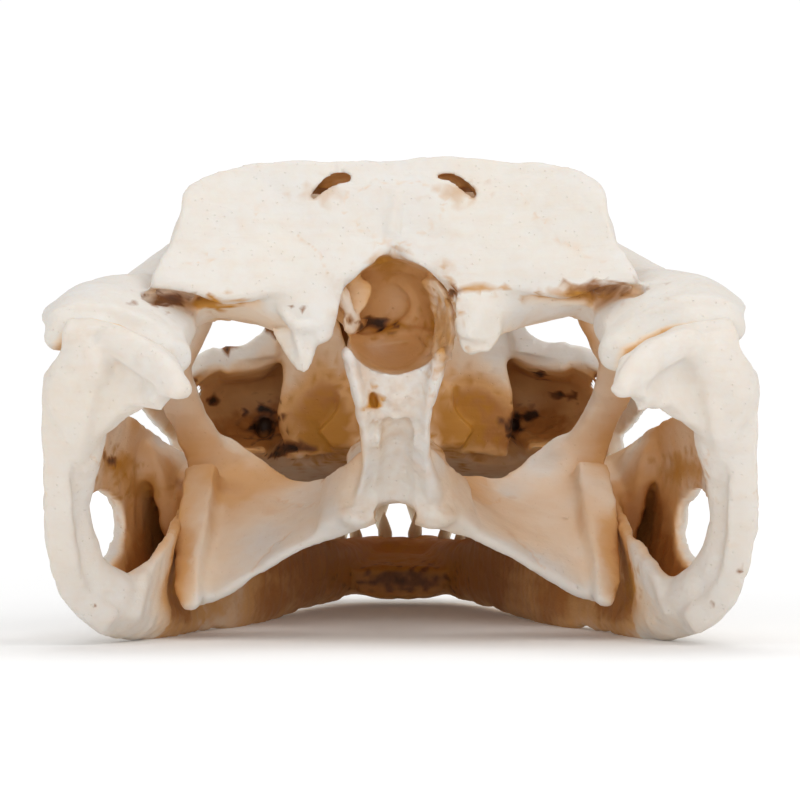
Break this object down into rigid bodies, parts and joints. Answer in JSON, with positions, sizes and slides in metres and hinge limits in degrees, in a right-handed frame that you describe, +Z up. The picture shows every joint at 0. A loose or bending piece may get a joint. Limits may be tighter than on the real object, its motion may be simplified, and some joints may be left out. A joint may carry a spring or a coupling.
{
  "type": "crocodilian skull with its lower jaw",
  "caption": "Bleached skull of a spectacled caiman with its lower jaw and teeth in place, resting on the underside of the jaw.",
  "frame": {"origin": "under the middle of the skull's box, on the surface it rests on", "axes": "+Y towards the tip of the snout, +Z up, +X to the animal's right"},
  "size_m": [0.1254, 0.2394, 0.0861],
  "materials": {
    "bone": "matte",
    "enamel": "satin"
  },
  "bodies": {
    "root": {"cranium": "bone", "mandible": "bone", "tooth_upper_right_01": "enamel", "tooth_upper_right_02": "enamel", "tooth_upper_right_03": "enamel", "tooth_upper_right_04": "enamel", "tooth_upper_right_05": "enamel", "tooth_upper_right_06": "enamel", "tooth_upper_right_07": "enamel", "tooth_upper_right_08": "enamel", "tooth_upper_right_09": "enamel", "tooth_upper_right_10": "enamel", "tooth_upper_right_11": "enamel", "tooth_upper_right_12": "enamel", "tooth_upper_right_13": "enamel", "tooth_upper_right_14": "enamel", "tooth_upper_right_15": "enamel", "tooth_upper_left_01": "enamel", "tooth_upper_left_02": "enamel", "tooth_upper_left_03": "enamel", "tooth_upper_left_04": "enamel", "tooth_upper_left_05": "enamel", "tooth_upper_left_06": "enamel", "tooth_upper_left_07": "enamel", "tooth_upper_left_08": "enamel", "tooth_upper_left_09": "enamel", "tooth_upper_left_10": "enamel", "tooth_upper_left_11": "enamel", "tooth_upper_left_12": "enamel", "tooth_upper_left_13": "enamel", "tooth_upper_left_14": "enamel", "tooth_upper_left_15": "enamel", "tooth_lower_right_01": "enamel", "tooth_lower_right_02": "enamel", "tooth_lower_right_03": "enamel", "tooth_lower_right_04": "enamel", "tooth_lower_right_05": "enamel", "tooth_lower_right_06": "enamel", "tooth_lower_right_07": "enamel", "tooth_lower_right_08": "enamel", "tooth_lower_right_09": "enamel", "tooth_lower_right_10": "enamel", "tooth_lower_right_11": "enamel", "tooth_lower_right_12": "enamel", "tooth_lower_right_13": "enamel", "tooth_lower_right_14": "enamel", "tooth_lower_left_01": "enamel", "tooth_lower_left_02": "enamel", "tooth_lower_left_03": "enamel", "tooth_lower_left_04": "enamel", "tooth_lower_left_05": "enamel", "tooth_lower_left_06": "enamel", "tooth_lower_left_07": "enamel", "tooth_lower_left_08": "enamel", "tooth_lower_left_09": "enamel", "tooth_lower_left_10": "enamel", "tooth_lower_left_11": "enamel", "tooth_lower_left_12": "enamel", "tooth_lower_left_13": "enamel", "tooth_lower_left_14": "enamel"}
  },
  "joints": []
}
